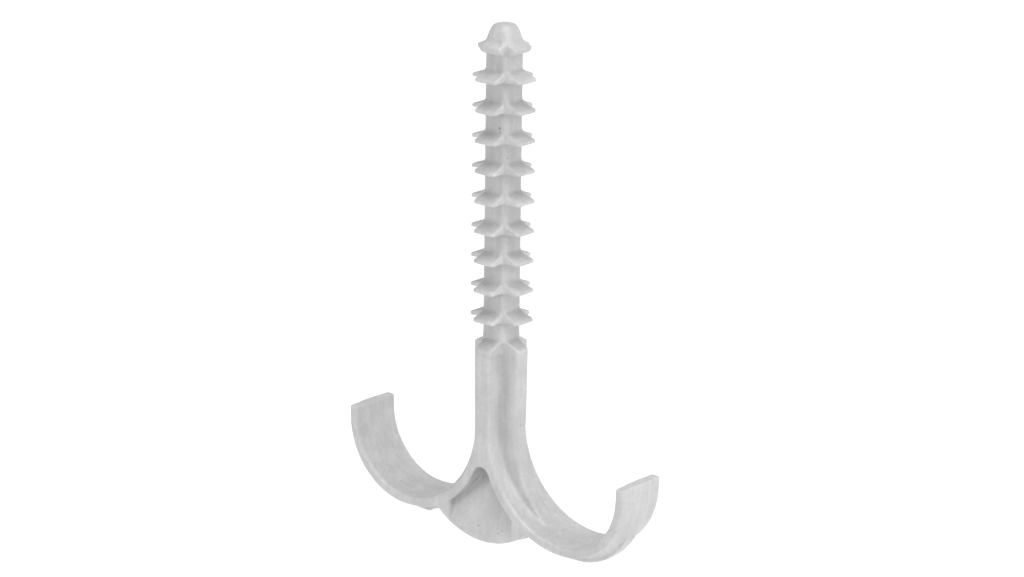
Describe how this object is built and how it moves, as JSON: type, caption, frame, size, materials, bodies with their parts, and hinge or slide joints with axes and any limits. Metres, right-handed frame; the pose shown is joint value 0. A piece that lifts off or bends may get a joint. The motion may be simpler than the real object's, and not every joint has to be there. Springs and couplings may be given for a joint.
{
  "type": "cable hook clip",
  "caption": "Moulded plastic double hook that carries cables in two open cradles and hangs from a barbed push-in shank",
  "frame": {"origin": "on the shank's axis at the shoulder, where the clip's arms meet the wall or ceiling", "axes": "+Z along the barbed shank to its tip, +X across the two hooks, +Y across the width of the straps"},
  "size_m": [0.0452, 0.0072, 0.0657],
  "materials": {
    "grey_plastic": "light grey moulded plastic with a soft sheen"
  },
  "bodies": {
    "root": {"hook_clip": "grey_plastic"}
  },
  "joints": []
}
